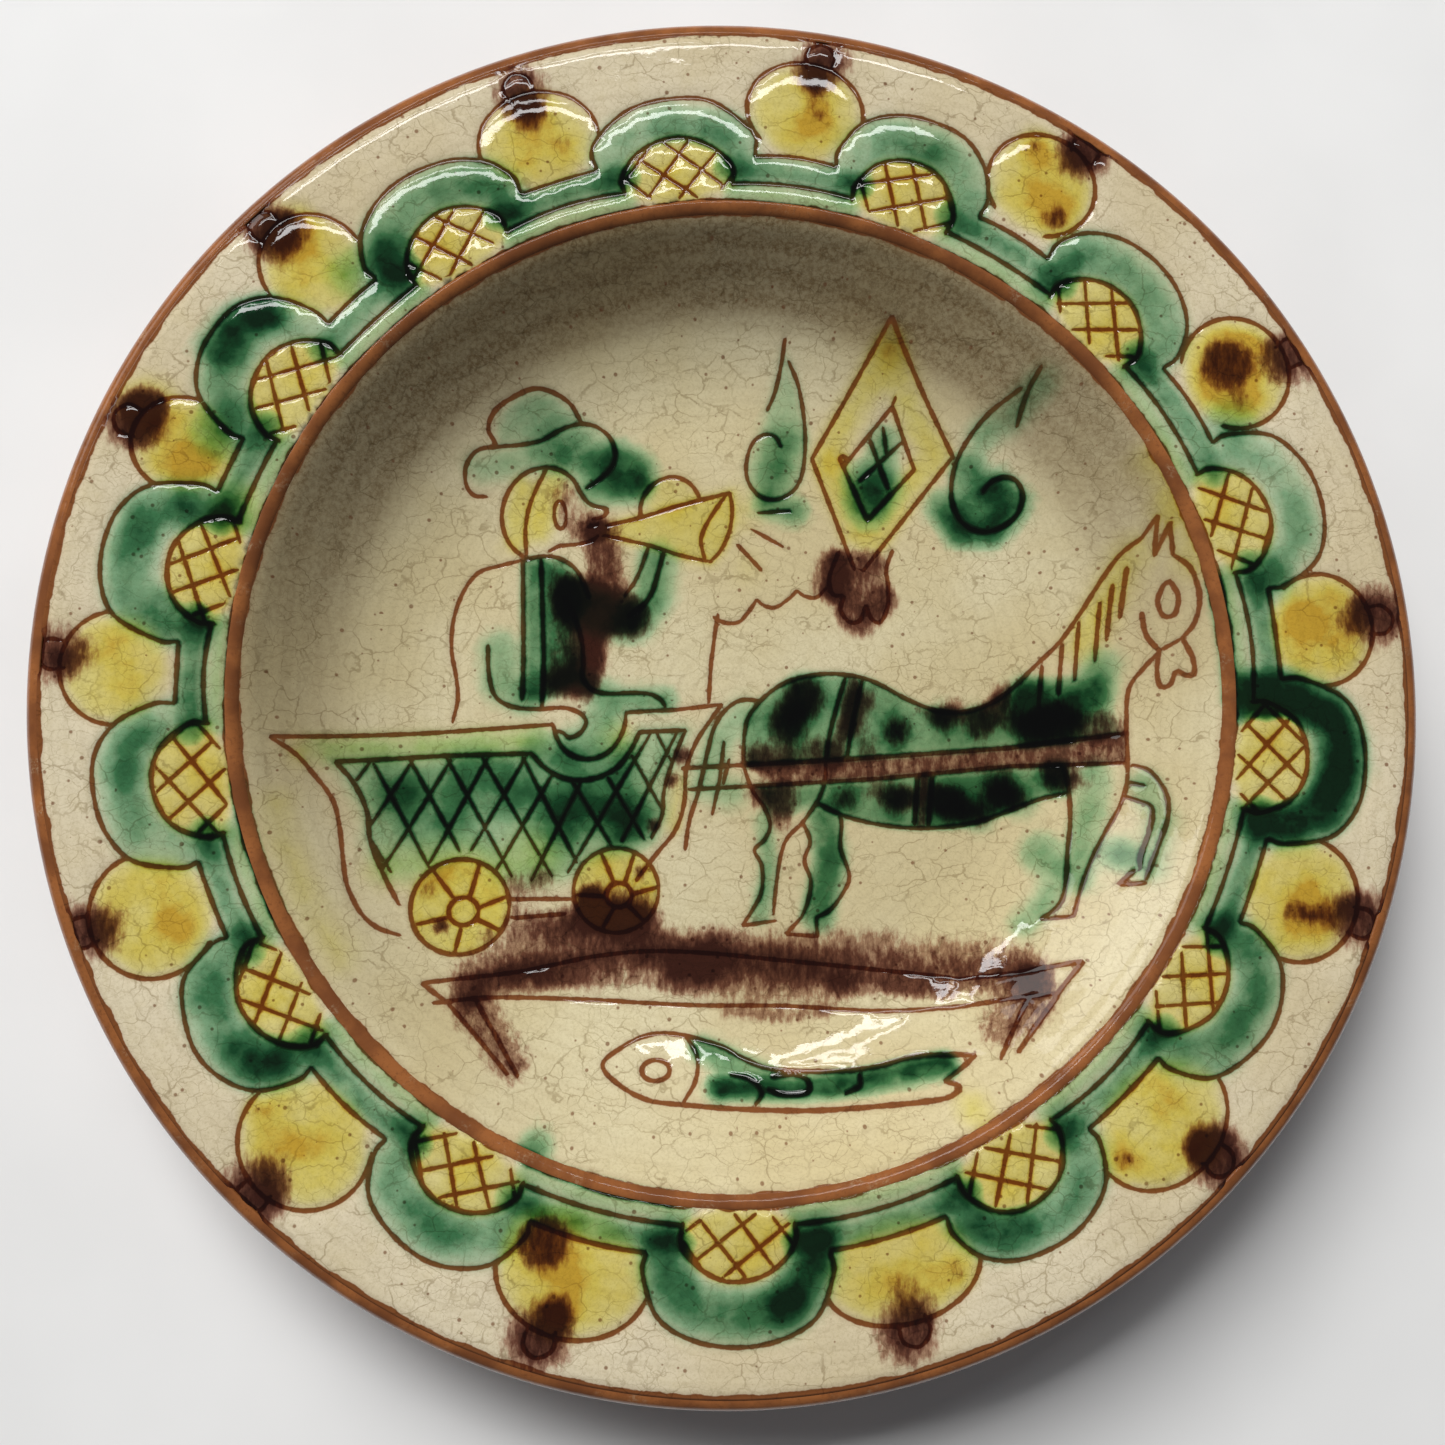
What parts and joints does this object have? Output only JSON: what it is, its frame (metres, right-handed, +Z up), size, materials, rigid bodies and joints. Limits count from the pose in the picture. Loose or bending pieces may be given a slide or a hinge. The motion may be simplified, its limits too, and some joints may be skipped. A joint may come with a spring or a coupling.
{
  "type": "hand painted ceramic plate",
  "caption": "Round slipware plate with a shallow well, wide rim and turned foot ring, engraved and painted under a clear glaze, for serving or display.",
  "frame": {"origin": "centre of the foot ring, on the surface the plate rests on", "axes": "+Z up out of the well along the plate's axis; +Y towards the top of the painted scene and +X towards its right"},
  "size_m": [0.28, 0.28, 0.0353],
  "materials": {
    "clay": "fired red earthenware, matt on the back and foot",
    "white_slip": "cream white slip with engraved lines and green, yellow and brown oxide stains",
    "clear_glaze": "glossy clear lead glaze, slightly yellow, finely crazed"
  },
  "bodies": {
    "root": {"clay_body": "clay", "rim_slip": "white_slip", "well_slip": "white_slip", "glaze_coat": "clear_glaze"}
  },
  "joints": []
}
